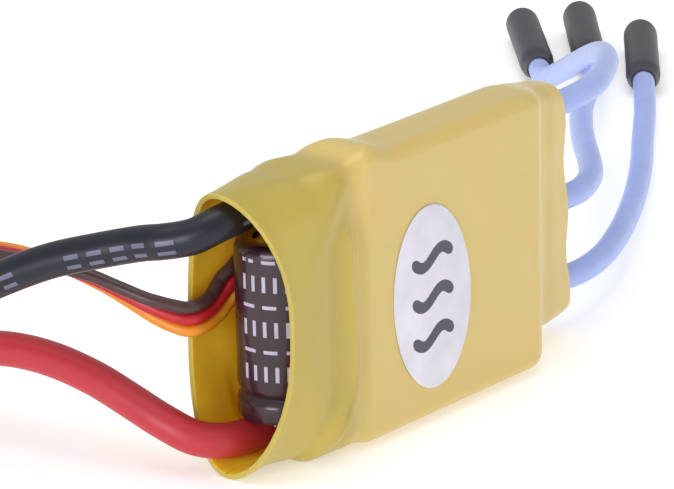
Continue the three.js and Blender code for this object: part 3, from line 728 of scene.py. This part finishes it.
rings = [sleeve_ring(row) for row in sections_between(6)]
around = len(rings[0])
skin = bpy.data.meshes.new("yellow_sleeve")
faces = []
for r in range(len(rings) - 1):
    for i in range(around):
        n = (i + 1) % around
        faces.append((r * around + i, r * around + n, (r + 1) * around + n, (r + 1) * around + i))
skin.from_pydata([p for ring in rings for p in ring], [], faces)
sleeve = bpy.data.objects.new("yellow_sleeve", skin)
bpy.context.collection.objects.link(sleeve)
bpy.context.view_layer.objects.active = sleeve
sleeve.select_set(True)
bpy.ops.object.mode_set(mode="EDIT")
bpy.ops.mesh.select_all(action="SELECT")
bpy.ops.mesh.normals_make_consistent(inside=False)
bpy.ops.object.mode_set(mode="OBJECT")
for material in heat_shrink():
    sleeve.data.materials.append(material)
wall = sleeve.modifiers.new("wall", "SOLIDIFY")
wall.thickness = sleeve_wall * mm
wall.offset = -1
wall.use_even_offset = True
wall.material_offset = 1
wall.material_offset_rim = 0
bpy.ops.object.modifier_apply(modifier=wall.name)
sleeve.select_set(False)
softened(sleeve, 0.14 * mm, 3, 50)
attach(sleeve, "root")
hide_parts("heat_shrink_sleeve")

# ---- label -------------------------------------------------------------------------------------------------
# A glossy white oval sticker on the flat face. Its print is three plain waves, one for each phase.
label_low, label_high = (Vector(corner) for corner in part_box("oval_label"))
label = softened(merged_copy("label_sticker", "oval_label"), 0.04 * mm, 2, 50)
settle(label, shrink_film("label paper", (0.72, 0.70, 0.80), 0.32), "label", "oval_label")
label_centre = (label_low + label_high) / 2
ink = bmesh.new()
wave_half, wave_height, wave_pitch, stroke = 2.6 * mm, 0.72 * mm, 3.5 * mm, 0.5 * mm
label_lean = 0.07
ink_y = label_low.y - 0.012 * mm
for place in (-1, 0, 1):
    last = None
    for i in range(49):
        along = -wave_half + 2 * wave_half * i / 48
        angle = math.pi * along / wave_half
        taper = min(1, 6.5 * (1 - abs(along) / wave_half)) ** 0.5
        middle = wave_height * math.sin(angle)
        slope = wave_height * math.cos(angle) * math.pi / wave_half
        square = Vector((-slope, 0, 1)).normalized() * stroke * (0.25 + 0.75 * taper)
        rise = wave_pitch * place + middle - label_lean * along
        centre = Vector((label_centre.x + along, ink_y, label_centre.z + rise))
        pair = []
        for edge in (-1, 1):
            for depth in (0.008 * mm, 0):
                pair.append(ink.verts.new(centre + edge * square + Vector((0, depth, 0))))
        if last:
            a, b, c, d = last
            e, f, g, h = pair
            for quad in ((a, b, f, e), (b, d, h, f), (d, c, g, h), (c, a, e, g)):
                ink.faces.new(quad)
        else:
            ink.faces.new((pair[0], pair[2], pair[3], pair[1]))
        last = pair
    ink.faces.new((last[0], last[1], last[3], last[2]))
settle(joined("label_print", ink), shrink_film("label ink", (0.065, 0.063, 0.088), 0.4), "label")

# ---- capacitor ---------------------------------------------------------------------------------------------
# A storage capacitor lying across the open end: an aluminium can with a rolled bead near its rubber end, in a
# shrunk film of dark maroon with a pale polarity stripe and rows of pale marks.
cap_low, cap_high = (Vector(c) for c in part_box("capacitor_wrap"))
cap_axis = Vector(((cap_low.x + cap_high.x) / 2, (cap_low.y + cap_high.y) / 2, cap_low.z))
cap_height = (cap_high.z - cap_low.z) / mm
bead = 2.2
film = [
    (2.9, 0.02), (3.3, 0), (3.72, 0.02), (3.9, 0.1), (3.98, 0.3), (4.0, 0.6), (4.0, bead - 0.75),
    (3.95, bead - 0.5),
    (3.72, bead - 0.22), (3.6, bead), (3.72, bead + 0.22), (3.95, bead + 0.5), (4.0, bead + 0.75),
    (4.0, cap_height - 1.0), (3.97, cap_height - 0.6), (3.85, cap_height - 0.3), (3.6, cap_height - 0.08),
    (3.3, cap_height), (2.5, cap_height), (2.4, cap_height - 0.06), (2.5, cap_height - 0.13),
    (3.3, cap_height - 0.14), (3.7, cap_height - 0.35), (3.86, cap_height - 1.0), (3.86, bead + 0.7),
    (3.48, bead), (3.86, bead - 0.7), (3.86, 0.6), (3.7, 0.1), (2.9, 0.09),
]
wrap = turned("capacitor_film", film, cap_axis, Vector((0, 0, 1)), segments=96, closed=True)
for vertex in wrap.data.vertices:
    # The film is drawn tight round the can, with faint upright creases near its ends.
    out = Vector((vertex.co.x - cap_axis.x, vertex.co.y - cap_axis.y, 0))
    near_end = 1 - eased(min(vertex.co.z - cap_low.z, cap_high.z - vertex.co.z), 0.2 * mm, 1.6 * mm)
    turn = math.atan2(out.y, out.x)
    crease = 0.03 * near_end * math.sin(19 * turn) + 0.01 * math.sin(5 * turn + 3 * vertex.co.z / mm)
    vertex.co += out.normalized() * crease * mm
maroon = shrink_film("capacitor film", (0.030, 0.010, 0.017), 0.26)
gloss = maroon.node_tree.nodes["Principled BSDF"].inputs
gloss["Coat Weight"].default_value = 0.15
gloss["Coat Roughness"].default_value = 0.12
settle(wrap, maroon, "wrap", "capacitor_wrap")


def on_can(mesh, turn_low, turn_high, low, high, radius=4.018):
    """A thin printed patch on the can's side, between two turns in degrees and two heights in millimetres."""
    steps = max(1, round((turn_high - turn_low) / 5))
    columns = []
    for i in range(steps + 1):
        turn = math.radians(turn_low + (turn_high - turn_low) * i / steps)
        column = []
        for reach in (radius - 0.012, radius):
            for height in (low, high):
                spot = Vector((reach * math.cos(turn), reach * math.sin(turn), height)) * mm
                column.append(mesh.verts.new(cap_axis + spot))
        columns.append(column)
    for (a, b, c, d), (e, f, g, h) in zip(columns, columns[1:]):
        for quad in ((a, b, f, e), (c, g, h, d), (b, d, h, f), (a, e, g, c)):
            mesh.faces.new(quad)
    a, b, c, d = columns[0]
    mesh.faces.new((a, c, d, b))
    a, b, c, d = columns[-1]
    mesh.faces.new((a, b, d, c))


marks = bmesh.new()
# Plain bars and dashes stand where the rating would be, and a dashed stripe marks the negative lead.
for row in range(6):
    low = 3.9 + 1.95 * row
    for column in range(5):
        start = 168 + 14 * column
        if row % 2 == 0:
            on_can(marks, start, start + 4.5, low, low + 1.35)
        elif column % 2 == 0:
            on_can(marks, start, start + 17, low + 0.5, low + 0.8)
for row in range(6):
    on_can(marks, 262, 268, 3.4 + 2.0 * row, 4.6 + 2.0 * row)
settle(joined("capacitor_print", marks), shrink_film("pale ink", (0.47, 0.43, 0.56), 0.4), "wrap")

can_height = (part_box("capacitor_can")[1].z - cap_low.z) / mm
can = turned(
    "capacitor_can",
    [
        (0, 1.35), (3.3, 1.35), (3.3, 0.2), (3.55, 0.15), (3.78, 0.35), (3.82, 0.6), (3.82, bead - 0.7),
        (3.42, bead), (3.82, bead + 0.7), (3.82, can_height - 1.0), (3.68, can_height - 0.36),
        (3.35, can_height - 0.15), (0, can_height - 0.12),
    ],
    cap_axis, Vector((0, 0, 1)), segments=64,
)
settle(can, tinned("can aluminium", (0.78, 0.79, 0.8), 0.32), "can", "capacitor_can")
bung = turned(
    "capacitor_bung", [(0, 0.16), (2.6, 0.16), (3.1, 0.22), (3.25, 0.4), (3.25, 1.25), (0, 1.25)],
    cap_axis, Vector((0, 0, 1)), segments=48,
)
settle(bung, moulded("bung rubber", (0.03, 0.03, 0.034), 0.75), "bung", "capacitor_bung")

# ---- board and the parts on it -----------------------------------------------------------------------------
# The pieces sealed in the sleeve keep their own solids: the board, its heat spreader and pad, the chips, the
# solder mounds and the capacitor's legs.
solder_mask = moulded("green solder mask", (0.012, 0.085, 0.04), 0.35)
epoxy = moulded("black epoxy", (0.02, 0.02, 0.022), 0.6)
finishes = {
    "circuit_board": solder_mask,
    "heat_spreader": tinned("spreader aluminium", (0.75, 0.76, 0.78), 0.38),
    "thermal_pad": moulded("thermal pad", (0.33, 0.45, 0.55), 0.85),
    "microcontroller": epoxy,
    "resonator": tinned("resonator cap", (0.7, 0.68, 0.6), 0.4),
    "regulator_1": epoxy,
    "regulator_2": epoxy,
    "capacitor_lead_positive": tin,
    "capacitor_lead_negative": tin,
}
for number in range(1, 13):
    finishes[f"mosfet_{number}"] = epoxy
solder = tinned("soft solder", (0.62, 0.63, 0.65), 0.28)
for place in ("battery_solder_black", "battery_solder_red", *(f"motor_solder_{n}" for n in (1, 2, 3))):
    finishes[place] = solder
for name, material in finishes.items():
    if not nodes[name].material_slots:
        nodes[name].data.materials.append(material)
    for place in nodes[name].material_slots:
        place.material = material

# ---- floor and light ---------------------------------------------------------------------------------------
# A white sweep in a light tent: white all round, with soft lights overhead, low on the left and in front.
bpy.ops.mesh.primitive_plane_add(size=4, location=(0, 0, -0.02 * mm))
floor = bpy.context.object
floor.name = "floor"
paper, _, white, _ = new_material("white paper")
white.inputs["Base Color"].default_value = (0.93, 0.93, 0.935, 1)
white.inputs["Roughness"].default_value = 0.9
white.inputs["Specular IOR Level"].default_value = 0.1
white.inputs["Emission Color"].default_value = (1, 1, 1, 1)
white.inputs["Emission Strength"].default_value = 0.35
floor.data.materials.append(paper)
world = bpy.data.worlds.new("tent")
bpy.context.scene.world = world
world.use_nodes = True
world.node_tree.nodes["Background"].inputs["Color"].default_value = (1, 1, 1, 1)
world.node_tree.nodes["Background"].inputs["Strength"].default_value = 0.62


def soft_light(name, place, aim, size, power):
    data = bpy.data.lights.new(name, "AREA")
    data.shape = "SQUARE"
    data.size = size
    data.energy = power
    lamp = bpy.data.objects.new(name, data)
    lamp.location = place
    lamp.rotation_euler = (Vector(aim) - Vector(place)).to_track_quat("-Z", "Y").to_euler()
    bpy.context.collection.objects.link(lamp)


soft_light("overhead", (-0.05, 0.05, 0.6), (0, 0, 0.01), 0.4, 0.9)
soft_light("left", (-0.5, -0.06, 0.1), (-0.02, 0, 0.012), 0.2, 1.0)
soft_light("front", (0.12, -0.6, 0.16), (0, 0, 0.01), 0.3, 0.22)
bpy.context.scene.view_settings.view_transform = "Standard"
